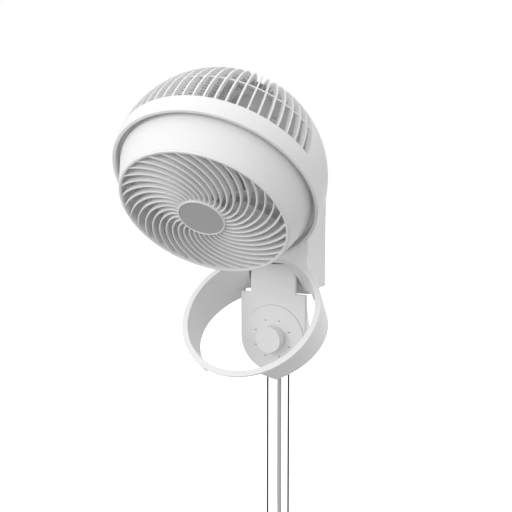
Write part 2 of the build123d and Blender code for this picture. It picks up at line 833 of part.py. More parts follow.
def front_housing():
    """Front half of the box with the neck that carries the arm."""
    solid = front_block(0.0, box_front_y)
    rim = solid.faces().sort_by(Axis.Y)[0].edges()
    solid = fillet(rim, box_edge_r)
    neck = extrude(Pos(0, 0, box_arc_z) * neck_outline(0.0), amount=neck_top_z - box_arc_z)
    neck_edges = neck.edges().filter_by(Axis.Z)
    neck = fillet(neck_edges, neck_edge_r)
    inner = front_block(wall, box_front_y + plate_t - plate_proud + panel_web)
    neck_core = extrude(Pos(0, 0, neck_core_z) * neck_outline(wall), amount=neck_top_z - 10.0 - neck_core_z)
    keep_front = block(-200, 200, box_front_y, box_split_y, box_arc_z, neck_split_z)
    above = block(-200, 200, box_front_y, 0.0, neck_split_z, neck_top_z)
    solid = solid + (neck & (keep_front + above)) - inner - neck_core
    boss = disc(pan_tube_r + bush_wall + 3.0, box_top_z + 2.0, neck_top_z, 0, pan_y) & neck
    solid = solid + boss - disc(pan_tube_r + bush_wall, 0, neck_top_z + 1.0, 0, pan_y)
    recess = rod_y(plate_r + seam, box_front_y - 1.0, box_front_y + plate_t - plate_proud, 0, box_arc_z)
    solid = solid - recess
    solid = solid - rod_y(spindle_r + 1.0, box_front_y - 5.0, box_split_y, 0, knob_z)
    return solid


def neck_bush():
    """The plastic bush in the neck's top, which the swing tube turns in."""
    return ring(pan_tube_r + bush_wall, pan_tube_r + slip, box_top_z + 4.0, neck_top_z, 0, pan_y)


def rear_loft(inset, back_inset):
    """The rear part of the box as a solid, from the front half's edge to a smaller outline at the wall."""
    lean = (box_split_y - box_front_y) * tan(radians(box_draft)) + inset
    start = front_plane(box_split_y) * box_outline(box_half_w - lean, box_top_z - lean, box_arc_z)
    end_y = box_back_y - back_inset
    end = front_plane(end_y) * box_outline(box_back_half_w - inset, box_back_top_z - inset, box_back_arc_z)
    return loft([start, end])


def neck_behind_split(inset, z0, z1):
    """The part of the neck's foot that belongs to the rear half."""
    foot = extrude(Pos(0, 0, z0) * neck_outline(inset), amount=z1 - z0)
    if inset == 0.0:
        foot = fillet(foot.edges().filter_by(Axis.Z), neck_edge_r)
    return foot & block(-200, 200, box_split_y, 0.0, z0, z1)


def rear_housing():
    """Rear half of the box, which narrows to the wall bracket."""
    foot = neck_behind_split(0.0, box_arc_z, neck_split_z)
    core = neck_behind_split(wall, box_arc_z, neck_split_z)
    solid = rear_loft(0.0, 0.0) + foot - rear_loft(wall, wall) - core
    window = box_outline(box_back_half_w - window_edge, window_top_z, box_back_arc_z)
    solid = solid - extrude(front_plane(0.0) * window, amount=window_depth)
    solid = solid - disc(lock_screw_r, -30.0, 0.0, 0, lock_screw_y)
    for side in (-1, 1):
        solid = solid - disc(guide_r, -40.0, 10.0, side * pull_x, pull_y)
    solid = solid - disc(gland_r, -40.0, 10.0, 0, cord_y)
    return solid


def cord_gland():
    """The tapered strain relief of the power cord."""
    flange = disc(gland_flange_r, gland_flange_z, gland_top_z, 0, cord_y)
    stem = disc(gland_r - seam, gland_sleeve_z, gland_flange_z, 0, cord_y)
    length = gland_sleeve_z - gland_tip_z
    sleeve = Pos(0, cord_y, gland_tip_z + length / 2) * Cone(gland_tip_r, gland_r - seam, length)
    return flange + stem + sleeve


def pull_guide(side):
    """The eyelet that a pull cord runs through."""
    x = side * pull_x
    flange_top = guide_flange_z + guide_flange_t
    flange = ring(guide_r + 2.0, guide_bore_r, guide_flange_z, flange_top, x, pull_y)
    return flange + ring(guide_r - seam, guide_bore_r, flange_top, guide_top_z, x, pull_y)


def pull_switch(side):
    """A pull switch's case, above its cord."""
    x = side * pull_x
    half = pull_case_w / 2
    front = pull_y - 4.0
    back = front + pull_case_w
    return block(x - half, x + half, front, back, pull_top_z + body_gap, pull_top_z + pull_case_h)


def pull_cord(side):
    """A pull cord from its switch to its bell."""
    return disc(pull_cord_r, pull_bottom_z, pull_top_z, side * pull_x, pull_y)


def pull_bell(side):
    """The bell-shaped handle at a pull cord's end."""
    x = side * pull_x
    low = pull_bottom_z - pull_bell_h
    bell = Pos(x, pull_y, low + pull_bell_h / 2) * Cone(pull_bell_r, 3.2, pull_bell_h)
    bell = fillet(bell.edges().sort_by(Axis.Z)[0], 2.0)
    return bell


def control_plate():
    """The round panel that carries the knob."""
    front = box_front_y - plate_proud
    plate = rod_y(plate_r, front, front + plate_t, 0, box_arc_z)
    plate = fillet(plate.faces().sort_by(Axis.Y)[0].edges(), 0.8)
    return plate - rod_y(spindle_r + 1.0, front - 1.0, front + plate_t + 1.0, 0, knob_z)


def dial_marks():
    """The eight marks round the knob."""
    front = box_front_y - plate_proud
    marks = []
    for k in range(mark_count):
        x, z = polar(mark_circle_r, (k + 0.5) * 360.0 / mark_count)
        low = knob_z + z - mark_h / 2
        marks.append(block(x - mark_w / 2, x + mark_w / 2, front - mark_t, front, low, low + mark_h))
    return Compound(marks)


def control_knob():
    """The round knob."""
    back = box_front_y - plate_proud - body_gap
    knob = rod_y(knob_r, back - knob_h, back, 0, knob_z)
    knob = fillet(knob.faces().sort_by(Axis.Y)[0].edges(), 1.2)
    return knob - rod_y(spindle_r + seat, back - knob_h + 6.0, back, 0, knob_z)


def knob_spindle():
    """The knob's spindle, which turns in the rotary switch."""
    back = box_front_y - plate_proud - body_gap
    return rod_y(spindle_r, back - knob_h + 6.0, switch_front_y + 8.0, 0, knob_z)


def speed_switch():
    """The rotary switch behind the panel."""
    back = switch_front_y + switch_depth
    case = block(-switch_half, switch_half, switch_front_y, back, knob_z - switch_half, knob_z + switch_half)
    return case - rod_y(spindle_r + slip, switch_front_y - 1.0, switch_front_y + 10.0, 0, knob_z)


def swing_motor():
    """The geared swing motor under the neck."""
    half = swing_motor_half_w
    can = block(-half, half, box_front_y + 5.5, swing_motor_back_y, motor_top_z - swing_motor_h, motor_top_z)
    can = fillet(can.edges().filter_by(Axis.Z), 3.0)
    collar = disc(2 * swing_shaft_r, motor_top_z, motor_top_z + 1.5, 0, pan_y)
    return can + collar - disc(swing_shaft_r + slip, motor_top_z - 8.0, motor_top_z + 2.0, 0, pan_y)


def control_board():
    """The circuit board behind the rotary switch."""
    return block(-board_half_w, board_half_w, board_front_y, board_front_y + board_t, 8.0, 52.0)


def run_capacitor():
    """The motor's run capacitor, on the board."""
    front = board_front_y + board_t
    return block(-capacitor_half_w, capacitor_half_w, front, front + capacitor_d, 18.0, 38.0)


def wall_bracket():
    """The steel plate that is screwed to the wall, with the box's hook and a lug for its screw."""
    outline = box_outline(box_back_half_w, box_back_top_z, box_back_arc_z)
    plate = extrude(front_plane(0.0) * outline, amount=bracket_t)
    for x in (-1, 1):
        for z in (-1, 1):
            plate = plate - rod_y(screw_hole_r, -10.0, 10.0, x * screw_spacing_x / 2, z * screw_spacing_z / 2)
    lug = block(-lug_half_w, lug_half_w, lock_screw_y - 6.0, -bracket_t, lug_z, lug_z + hook_t)
    lug = lug - disc(lock_screw_r, -30.0, 0.0, 0, lock_screw_y)
    root = block(-hook_half_w, hook_half_w, hook_back_y, -bracket_t, hook_z, hook_z + hook_t)
    upright = block(-hook_half_w, hook_half_w, hook_back_y, hook_back_y + hook_t, hook_z, hook_top_z)
    return plate + lug + root + upright


def housing_screws():
    """Four screws that hold the two halves of the box together, seen from behind."""
    places = [(side * case_screw_x, z) for z in (12.0, 74.0) for side in (-1, 1)]
    return Compound([rod_y(case_screw_r, box_split_y - 8.0, box_split_y + 4.0, x, z) for x, z in places])


def lock_screw():
    """The screw under the box that locks it to the bracket."""
    head = disc(2 * lock_screw_r, -25.0, -22.6, 0, lock_screw_y)
    return head + disc(lock_screw_r, -23.0, lug_z + hook_t + 2.0, 0, lock_screw_y)


# ---------------------------------------------------------------- power cord


def cord_route():
    """Corner points of the power cord from its gland to the coil, chosen by hand."""
    return [
        (0.0, cord_y, gland_tip_z),
        (0.0, cord_y, cord_turn_z),
        (cord_joint[0], cord_y, cord_joint[1]),
    ]


def cord_tube(points):
    """A round cord along straight runs with tangent arcs."""
    radii = []
    for before, at, after in zip(points, points[1:], points[2:]):
        first = Vector(*at) - Vector(*before)
        second = Vector(*after) - Vector(*at)
        turn = radians(first.get_angle(second))
        radii.append(0.45 * min(first.length, second.length) / tan(turn / 2))
    path = FilletPolyline(*points, radius=radii) if radii else Line(*points)
    start = Plane(origin=path @ 0, z_dir=path % 0)
    print("bend radii", [round(r, 1) for r in radii], "length", round(path.length, 1))
    return sweep(start * Circle(cord_d / 2), path=path)


def power_cord():
    """The hanging part of the power cord."""
    return cord_tube(cord_route())


def power_cord_coil():
    """The outer shape of the coil of spare cord."""
    ring_solid = Rot(90, 0, 0) * Torus(coil_r, coil_bundle_r)
    return Pos(coil_centre_x, cord_y, coil_centre_z) * ring_solid


def power_cord_tail():
    """The end of the cord from the coil to the plug."""
    x = coil_centre_x - coil_r
    return cord_tube([(x, cord_y, coil_centre_z - 12.0), (x, cord_y, tail_bottom_z)])


def cord_tie():
    """The strap round the coil."""
    band = Cylinder(coil_bundle_r + tie_band_t, tie_band_w) - Cylinder(coil_bundle_r, tie_band_w)
    band = Rot(0, 90, 0) * band
    return Pos(coil_centre_x, cord_y, coil_centre_z + coil_r) * band


def plug_body():
    """The moulded plug."""
    x = coil_centre_x - coil_r
    low = tail_bottom_z - plug_h
    body = Pos(x, cord_y, low + plug_h / 2) * Box(plug_w, plug_d, plug_h)
    return fillet(body.edges().filter_by(Axis.Z), 5.0)


def plug_pins():
    """The plug's two flat pins."""
    x = coil_centre_x - coil_r
    low = tail_bottom_z - plug_h
    pins = []
    for side in (-1, 1):
        left = x + (side * pin_pitch - pin_t) / 2
        pins.append(block(left, left + pin_t, cord_y - pin_w / 2, cord_y + pin_w / 2, low - pin_h, low))
    return Compound(pins)


yoke_nodes = {
    "arm_frame": arm_frame,
    "hoop": hoop,
    "arm_rear_cover": arm_cover,
    "swing_hub": swing_hub,
    "swing_hub_screws": hub_screws,
    "swing_coupling": swing_coupling,
    "swing_shaft": swing_shaft,
    "thrust_washer": thrust_washer,
    "tilt_pin": tilt_pin,
    "tilt_nut": tilt_nut,
    "tilt_knuckle": tilt_bracket,
    "tilt_knuckle_screws": bracket_screws,
}
head_nodes = {
    "rear_guard": rear_guard,
    "head_shroud": head_shroud,
    "nozzle_barrel": nozzle,
    "front_grille": front_grille,
    "centre_cap": centre_cap,
    "motor_mount": motor_mount,
    "motor_front_cup": lambda: motor_bracket(True),
    "motor_rear_cup": lambda: motor_bracket(False),
    "motor_bearings": motor_bearings,
    "motor_stator": stator,
    "motor_windings": windings,
    "motor_screws": motor_screws,
    "motor_rotor": rotor,
    "motor_shaft": motor_shaft,
    "impeller": impeller,
    "impeller_nut": impeller_nut,
}
base_nodes = {
    "wall_bracket": wall_bracket,
    "rear_housing": rear_housing,
    "front_housing": front_housing,
    "neck_bush": neck_bush,
    "housing_screws": housing_screws,
    "bracket_lock_screw": lock_screw,
    "control_plate": control_plate,
    "dial_marks": dial_marks,
    "control_knob": control_knob,
    "knob_spindle": knob_spindle,
    "speed_switch": speed_switch,
    "swing_motor": swing_motor,
    "control_board": control_board,
    "run_capacitor": run_capacitor,
    "cord_gland": cord_gland,
    "power_cord": power_cord,
    "power_cord_coil": power_cord_coil,
    "power_cord_tail": power_cord_tail,
    "cord_tie": cord_tie,
    "plug_body": plug_body,
    "plug_pins": plug_pins,
}

for name, make in {**yoke_nodes, **base_nodes}.items():
    save(make(), name)
for name, make in head_nodes.items():
    save(head_plane.location * make(), name)
for word, side in (("left", -1), ("right", 1)):
    save(pull_guide(side), f"pull_guide_{word}")
    save(pull_switch(side), f"pull_switch_{word}")
    save(pull_cord(side), f"pull_cord_{word}")
    save(pull_bell(side), f"pull_bell_{word}")
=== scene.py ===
"""Looks of the wall-mounted air circulator fan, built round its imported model.

Metres, in the model's own frame. Outlines and the head's sizes are written in millimetres.
"""

import json
from math import cos, exp, pi, radians, sin, sqrt

import bmesh
import bpy
from mathutils import Matrix, Vector


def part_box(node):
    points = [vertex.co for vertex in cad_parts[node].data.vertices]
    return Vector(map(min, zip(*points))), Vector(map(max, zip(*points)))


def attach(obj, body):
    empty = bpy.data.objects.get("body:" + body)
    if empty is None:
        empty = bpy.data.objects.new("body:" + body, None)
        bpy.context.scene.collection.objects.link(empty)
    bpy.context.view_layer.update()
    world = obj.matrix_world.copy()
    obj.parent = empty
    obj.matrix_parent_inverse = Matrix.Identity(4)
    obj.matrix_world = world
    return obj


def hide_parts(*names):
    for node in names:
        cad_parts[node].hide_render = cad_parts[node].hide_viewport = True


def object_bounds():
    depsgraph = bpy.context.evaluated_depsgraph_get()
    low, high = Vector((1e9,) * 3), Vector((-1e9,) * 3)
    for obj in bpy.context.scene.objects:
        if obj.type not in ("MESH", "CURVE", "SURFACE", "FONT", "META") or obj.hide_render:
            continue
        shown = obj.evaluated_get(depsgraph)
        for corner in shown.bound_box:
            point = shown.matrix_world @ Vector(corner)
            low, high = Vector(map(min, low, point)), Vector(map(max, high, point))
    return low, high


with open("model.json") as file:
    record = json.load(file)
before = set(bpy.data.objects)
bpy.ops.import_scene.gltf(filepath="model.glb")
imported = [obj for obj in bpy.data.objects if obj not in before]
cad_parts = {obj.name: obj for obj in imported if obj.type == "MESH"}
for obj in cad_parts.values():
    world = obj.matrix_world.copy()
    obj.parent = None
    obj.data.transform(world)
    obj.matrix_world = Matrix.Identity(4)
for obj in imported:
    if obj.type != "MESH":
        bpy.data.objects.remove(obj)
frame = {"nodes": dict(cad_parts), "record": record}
cad_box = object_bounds()
nodes = frame["nodes"]
joints = {j["name"]: j for j in frame["record"]["behaviour"]["joints"]}
MM = 0.001

# ---------------------------------------------------------------- camera, light and backdrop

CAMERA_PLACE = (0.5508, -1.3733, 0.3142)
CAMERA_AZIMUTH = 24.27
CAMERA_ELEVATION = 6.57
CAMERA_LENS = 66.8
FLOOR_DROP = 0.25  # how far the floor is below the lowest point of the hanging cord
BRIGHT_SIDE = (-0.1, -0.2, 0.95)
BRIGHT_SIDE_STRENGTH = 1.6
DARK_SIDE_STRENGTH = 0.14
KEY_PLACE = (-1.3, -2.5, 0.9)
KEY_TARGET = (0.0, -0.2, 0.1)
KEY_SIZE = 1.2
KEY_POWER = 17.0
FLOOR_REACH = 12.0
FLOOR_GLOW = 0.35


def make_camera():
    """The camera, at the viewing angle of a person who stands a little to the right of the fan."""
    data = bpy.data.cameras.new("camera")
    data.lens = CAMERA_LENS
    data.sensor_width = 36.0
    camera = bpy.data.objects.new("camera", data)
    camera.location = CAMERA_PLACE
    camera.rotation_euler = (radians(90.0 - CAMERA_ELEVATION), 0.0, radians(CAMERA_AZIMUTH))
    bpy.context.scene.collection.objects.link(camera)
    bpy.context.scene.camera = camera
    bpy.context.scene.view_settings.view_transform = "Standard"


def area_light(name, place, target, size, power):
    """A large soft square light that looks at a point."""
    data = bpy.data.lights.new(name, "AREA")
    data.energy = power
    data.size = size
    light = bpy.data.objects.new(name, data)
    light.location = place
    light.rotation_euler = (Vector(target) - Vector(place)).to_track_quat("-Z", "Y").to_euler()
    bpy.context.scene.collection.objects.link(light)


def make_world():
    """A white studio that is brightest from above, and plain white where the camera sees it."""
    world = bpy.data.worlds.new("studio")
    bpy.context.scene.world = world
    world.use_nodes = True
    tree = world.node_tree
    tree.nodes.clear()
    out = tree.nodes.new("ShaderNodeOutputWorld")
    shade = tree.nodes.new("ShaderNodeBackground")
    plain = tree.nodes.new("ShaderNodeBackground")
    mix = tree.nodes.new("ShaderNodeMixShader")
    path = tree.nodes.new("ShaderNodeLightPath")
    place = tree.nodes.new("ShaderNodeTexCoord")
    along = tree.nodes.new("ShaderNodeVectorMath")
    along.operation = "DOT_PRODUCT"
    along.inputs[1].default_value = Vector(BRIGHT_SIDE).normalized()
    ramp = tree.nodes.new("ShaderNodeMapRange")
    ramp.inputs["From Min"].default_value = -1.0
    ramp.inputs["From Max"].default_value = 1.0
    ramp.inputs["To Min"].default_value = DARK_SIDE_STRENGTH
    ramp.inputs["To Max"].default_value = BRIGHT_SIDE_STRENGTH
    plain.inputs["Color"].default_value = (1.0, 1.0, 1.0, 1.0)
    link = tree.links.new
    link(place.outputs["Generated"], along.inputs[0])
    link(along.outputs["Value"], ramp.inputs["Value"])
    link(ramp.outputs[0], shade.inputs["Strength"])
    link(path.outputs["Is Camera Ray"], mix.inputs["Fac"])
    link(shade.outputs[0], mix.inputs[1])
    link(plain.outputs[0], mix.inputs[2])
    link(mix.outputs[0], out.inputs["Surface"])


def make_floor():
    """A wide pale floor below the hanging plug."""
    low = cad_box[0][2] - FLOOR_DROP
    signs = [(-1, -1), (1, -1), (1, 1), (-1, 1)]
    corners = [(x * FLOOR_REACH, y * FLOOR_REACH, low) for x, y in signs]
    mesh = bpy.data.meshes.new("floor")
    mesh.from_pydata(corners, [], [(0, 1, 2, 3)])
    floor = bpy.data.objects.new("floor", mesh)
    bpy.context.scene.collection.objects.link(floor)
    floor.data.materials.append(plain_floor())
    floor.visible_diffuse = False


# ---------------------------------------------------------------- materials


def new_material(name):
    """A material with its tree, its main shader and the surface's own coordinates in metres."""
    material = bpy.data.materials.new(name)
    material.use_nodes = True
    tree = material.node_tree
    shader = tree.nodes["Principled BSDF"]
    place = tree.nodes.new("ShaderNodeTexCoord")
    return material, tree, shader, place.outputs["Object"]


def noise(tree, place, scale, detail=2.0):
    """A noise pattern whose patches are about 1/scale metres wide."""
    node = tree.nodes.new("ShaderNodeTexNoise")
    node.inputs["Scale"].default_value = scale
    node.inputs["Detail"].default_value = detail
    tree.links.new(place, node.inputs["Vector"])
    return node.outputs["Fac"]


def ramp_between(tree, value, low, high):
    """Maps a 0 to 1 pattern to a range of numbers."""
    node = tree.nodes.new("ShaderNodeMapRange")
    node.inputs["From Min"].default_value = 0.3
    node.inputs["From Max"].default_value = 0.7
    node.inputs["To Min"].default_value = low
    node.inputs["To Max"].default_value = high
    tree.links.new(value, node.inputs["Value"])
    return node.outputs[0]


def tint(tree, value, colour, spread):
    """A colour that a pattern makes a little lighter and darker."""
    node = tree.nodes.new("ShaderNodeMix")
    node.data_type = "RGBA"
    node.inputs["A"].default_value = (*[c * (1.0 - spread) for c in colour], 1.0)
    node.inputs["B"].default_value = (*[min(c * (1.0 + spread), 1.0) for c in colour], 1.0)
    tree.links.new(value, node.inputs["Factor"])
    return node.outputs["Result"]


def add_bump(tree, shader, height, distance, strength=1.0):
    """Raises the surface by a pattern, up to a distance in metres."""
    node = tree.nodes.new("ShaderNodeBump")
    node.inputs["Distance"].default_value = distance
    node.inputs["Strength"].default_value = strength
    tree.links.new(height, node.inputs["Height"])
    tree.links.new(node.outputs["Normal"], shader.inputs["Normal"])


def moulded(name, colour, roughness, grain=2600.0, depth=0.00002, spread=0.012, metallic=0.0):
    """Moulded plastic, or plated metal with metallic at 1: fine grain and slow changes of tint and gloss."""
    material, tree, shader, place = new_material(name)
    slow = noise(tree, place, 22.0)
    fine = noise(tree, place, grain, 3.0)
    tree.links.new(tint(tree, slow, colour, spread), shader.inputs["Base Color"])
    gloss = ramp_between(tree, noise(tree, place, 60.0, 4.0), roughness - 0.03, roughness + 0.03)
    tree.links.new(gloss, shader.inputs["Roughness"])
    shader.inputs["Metallic"].default_value = metallic
    add_bump(tree, shader, fine, depth, 0.6)
    return material


def plain_floor():
    """White paper, lit a little from within so that it stays as bright as a studio's lit floor."""
    paper = moulded("floor_paper", (0.93, 0.93, 0.93), 0.9, grain=300.0, depth=0.0001)
    shader = paper.node_tree.nodes["Principled BSDF"]
    shader.inputs["Emission Color"].default_value = (1.0, 1.0, 1.0, 1.0)
    shader.inputs["Emission Strength"].default_value = FLOOR_GLOW
    return paper


def stranded(name, colour, roughness, pitch, depth):
    """A braided cord: two sets of slanted strands over each other."""
    material, tree, shader, place = new_material(name)
    waves = []
    for turn in (-1, 1):
        mapping = tree.nodes.new("ShaderNodeMapping")
        mapping.inputs["Rotation"].default_value = (0.0, turn * radians(40.0), 0.0)
        tree.links.new(place, mapping.inputs["Vector"])
        wave = tree.nodes.new("ShaderNodeTexWave")
        wave.bands_direction = "Z"
        wave.inputs["Scale"].default_value = 1.0 / pitch
        wave.inputs["Distortion"].default_value = 0.6
        tree.links.new(mapping.outputs[0], wave.inputs["Vector"])
        waves.append(wave.outputs["Fac"])
    top = tree.nodes.new("ShaderNodeMath")
    top.operation = "MAXIMUM"
    tree.links.new(waves[0], top.inputs[0])
    tree.links.new(waves[1], top.inputs[1])
    tree.links.new(tint(tree, top.outputs[0], colour, 0.25), shader.inputs["Base Color"])
    shader.inputs["Roughness"].default_value = roughness
    add_bump(tree, shader, top.outputs[0], depth)
    return material


WHITE = moulded("satin_white_plastic", (0.84, 0.84, 0.838), 0.42)
PANEL = moulded("panel_white_plastic", (0.84, 0.84, 0.838), 0.34, grain=3200.0, depth=0.00001)
CAP_GREY = moulded("grey_cap_plastic", (0.41, 0.41, 0.415), 0.5)
BLADE = moulded("blade_plastic", (0.74, 0.74, 0.72), 0.3)
CARRIER = moulded("carrier_plastic", (0.58, 0.575, 0.56), 0.45)
STEEL = moulded("plated_steel", (0.60, 0.60, 0.61), 0.32, grain=900.0, metallic=1.0)
COPPER = moulded("enamelled_copper", (0.62, 0.27, 0.12), 0.3, grain=700.0, depth=0.0002, metallic=1.0)
BRASS = moulded("plated_brass", (0.78, 0.76, 0.70), 0.22, grain=900.0, metallic=1.0)
INNER = moulded("dark_moulding", (0.10, 0.10, 0.105), 0.45)
BOARD = moulded("lacquered_board", (0.02, 0.13, 0.05), 0.3, grain=500.0, depth=0.00005, spread=0.06)
MARK = moulded("printed_mark", (0.12, 0.12, 0.12), 0.6)
SHEATH = moulded("soft_cord_sheath", (0.47, 0.47, 0.475), 0.55, grain=1500.0, depth=0.00003)
TIE = moulded("soft_strap", (0.03, 0.03, 0.03), 0.6, grain=1200.0, depth=0.00008)
BRAID = stranded("braided_cord", (0.012, 0.012, 0.013), 0.85, 0.0012, 0.0002)

SLOT_MATERIALS = {
    "white_plastic": WHITE,
    "cap_grey": CAP_GREY,
    "blade_plastic": BLADE,
    "steel": STEEL,
    "copper": COPPER,
    "brass": BRASS,
    "inner_plastic": INNER,
    "circuit_board": BOARD,
    "mark_print": MARK,
    "cord_grey": SHEATH,
    "tie_black": TIE,
    "cord_dark": BRAID,
}


def dress_nodes():
    """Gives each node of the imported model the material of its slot."""
    for part in frame["record"]["subparts"]:
        mesh = nodes[part["node"]].data
        mesh.materials.clear()
        mesh.materials.append(SLOT_MATERIALS[part["material_slot"]])
    for name in ("control_plate", "control_knob"):
        nodes[name].data.materials[0] = PANEL
    nodes["motor_mount"].data.materials[0] = CARRIER


# ---------------------------------------------------------------- mesh helpers


def add_piece(name, mesh, material, body, slot, *replaced):
    """Puts a mesh or curve in the scene as a piece of the object."""
    piece = bpy.data.objects.new(name, mesh)
    bpy.context.scene.collection.objects.link(piece)
    mesh.materials.append(material)
    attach(piece, body)
    if replaced:
        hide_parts(*replaced)
    return piece


def rounded(points, steps=4):
    """A closed outline in metres from (a, b) or (a, b, corner radius) points in millimetres."""
    outline = []
    count = len(points)
    for k in range(count):
        before, at, after = (Vector(points[(k + d) % count][:2]) * MM for d in (-1, 0, 1))
        radius = points[k][2] * MM if len(points[k]) > 2 else 0.0
        if radius == 0.0:
            outline.append(at)
            continue
        one, two = before - at, after - at
        half = one.angle(two) / 2
        back = min(radius * cos(half) / sin(half), 0.48 * one.length, 0.48 * two.length)
        start, end = at + one.normalized() * back, at + two.normalized() * back
        for step in range(steps + 1):
            t = step / steps
            outline.append(start.lerp(at, t).lerp(at.lerp(end, t), t))
    return outline


def turned(outline, segments=192):
    """Points and faces of a closed (r, z) outline turned about Z."""
    count = len(outline)
    points = []
    for k in range(segments):
        a = 2 * pi * k / segments
        points += [(p[0] * cos(a), p[0] * sin(a), p[1]) for p in outline]
    faces = []
    for k in range(segments):
        here, there = k * count, (k + 1) % segments * count
        for m in range(count):
            n = (m + 1) % count
            faces.append((here + m, there + m, there + n, here + n))
    return points, faces


def skinned(rings):
    """Points and faces of a closed tube through rings of as many points each, with flat ends."""
    count = len(rings[0])
    points = [p for one in rings for p in one]
    faces = [tuple(range(count)), tuple(len(points) - 1 - k for k in range(count))]
    for k in range(len(rings) - 1):
        for m in range(count):
            n = (m + 1) % count
            faces.append((k * count + m, k * count + n, (k + 1) * count + n, (k + 1) * count + m))
    return points, faces


def mesh_from(name, place, shapes, smooth_angle=38.0):
    """One mesh of several (points, faces) shapes under a placing matrix, smooth except at sharp edges."""
    points, faces = [], []
    for shape_points, shape_faces in shapes:
        first = len(points)
        points += [place @ Vector(p) for p in shape_points]
        faces += [tuple(first + k for k in face) for face in shape_faces]
    mesh = bpy.data.meshes.new(name)
    mesh.from_pydata(points, [], faces)
    work = bmesh.new()
    work.from_mesh(mesh)
    bmesh.ops.remove_doubles(work, verts=work.verts, dist=1e-7)
    bmesh.ops.dissolve_degenerate(work, edges=work.edges, dist=1e-7)
    bmesh.ops.recalc_face_normals(work, faces=work.faces)
    work.to_mesh(mesh)
    work.free()
    mesh.polygons.foreach_set("use_smooth", [True] * len(mesh.polygons))
    mesh.set_sharp_from_angle(angle=radians(smooth_angle))
    return mesh


# ---------------------------------------------------------------- head


def head_place():
    """The head's own frame: its middle at the ball's centre and +Z out of the front grille."""
    spin = joints["fan_spin"]
    front = Vector(spin["axis"]).normalized()
    side = Vector((1.0, 0.0, 0.0))
    place = Matrix((side, front.cross(side), front)).transposed().to_4x4()
    place.translation = Vector(spin["pos_m"])
    return place


# Millimetres in the head's own frame: a radius is _R, a height above the ball's middle is _Z
BALL_R = 140.5
BALL_WALL = 2.5
RIM_Z = 23.8
GUARD_EDGE_Z = 3.0
LIP_R = sqrt(BALL_R**2 - RIM_Z**2)
LIP_W = 4.4
LIP_BORE_R = LIP_R - LIP_W
CHANNEL_Z = 10.5
CHANNEL_T = 2.5
CHANNEL_W = 5.9
NOZZLE_R = LIP_BORE_R - CHANNEL_W
NOZZLE_TAPER = 15.0
NOZZLE_BEND_Z = 21.7
NOZZLE_BEND_R = 9.0  # how softly the nozzle's side bends
NOZZLE_WALL = 2.5
TIP_R = NOZZLE_R - NOZZLE_TAPER
TIP_Z = 63.9
TIP_EDGE_R = 0.9
CHANNEL_BORE_R = TIP_R - 1.2
RIM_R = TIP_R - 0.6
RIM_W = 3.7
RIM_BORE_R = RIM_R - RIM_W
RIM_FRONT_Z = 66.4
SKIRT_R = TIP_R - NOZZLE_WALL - 0.3  # the grille's skirt slides into the nozzle
SKIRT_Z = 56.0
HUB_R = 31.6
HUB_BORE_R = 29.4
HUB_BACK_Z = 60.0
HUB_Z = 71.8
CAP_Z = 71.2
CAP_T = 3.2
RIBS = 34
RIB_W = 2.3
RIB_DEPTH = 9.0
RIB_STEPS = 30
RIB_HUB_Z = 70.6  # height of a rib's front edge at the hub and at the rim
RIB_RIM_Z = 65.8
RIB_DROP_POWER = 1.4  # above 1, a rib falls off slowly near the hub and faster near the rim
RIB_START_R = 33.0  # the ribs leave the hub straight and sweep from here
RIB_SWEEP = 0.81  # degrees for each millimetre of radius
RIB_LAG = 4.86  # degrees that the sweep lags behind after its slow start
RIB_EASE = 6.0  # millimetres over which the sweep starts


def ball_arc(radius, z0, z1, steps=8):
    """Points of the ball's skin between two heights."""
    heights = [z0 + (z1 - z0) * k / steps for k in range(steps + 1)]
    return [(sqrt(radius**2 - z**2), z) for z in heights]


def make_head_shroud():
    """The band round the ball's edge with its rolled lip, and the floor of the channel inside it."""
    neck = LIP_BORE_R + 2.0
    outline = ball_arc(BALL_R, GUARD_EDGE_Z, RIM_Z - 1.0)
    outline += [(LIP_R, RIM_Z, 1.4), (LIP_BORE_R, RIM_Z, 1.4), (LIP_BORE_R, CHANNEL_Z, 1.5)]
    outline += [(CHANNEL_BORE_R, CHANNEL_Z, 0.6), (CHANNEL_BORE_R, CHANNEL_Z - CHANNEL_T, 0.6)]
    outline += [(neck, CHANNEL_Z - CHANNEL_T), (neck, RIM_Z - 3.0)]
    outline += ball_arc(BALL_R - BALL_WALL, RIM_Z - 4.0, GUARD_EDGE_Z)
    mesh = mesh_from("rolled_shroud", head_place(), [turned(rounded(outline))])
    add_piece("rolled_shroud", mesh, WHITE, "head", "white_plastic", "head_shroud")


def make_nozzle():
    """The tapered barrel, bent softly out of its cylindrical foot."""
    outline = [
        (NOZZLE_R, CHANNEL_Z),
        (NOZZLE_R, NOZZLE_BEND_Z, NOZZLE_BEND_R),
        (TIP_R, TIP_Z, TIP_EDGE_R),
        (TIP_R - NOZZLE_WALL, TIP_Z, TIP_EDGE_R),
        (NOZZLE_R - NOZZLE_WALL, NOZZLE_BEND_Z, NOZZLE_BEND_R),
        (NOZZLE_R - NOZZLE_WALL, CHANNEL_Z),
    ]
    mesh = mesh_from("soft_nozzle", head_place(), [turned(rounded(outline))])
    add_piece("soft_nozzle", mesh, WHITE, "head", "white_plastic", "nozzle_barrel")


def rib_angle(r):
    """How far a rib has turned at a radius: straight at the hub, then a steady sweep to the rim."""
    out = r - RIB_START_R
    if out <= 0.0:
        return 0.0
    return radians(RIB_SWEEP * out - RIB_LAG * (1.0 - exp(-out / RIB_EASE)))


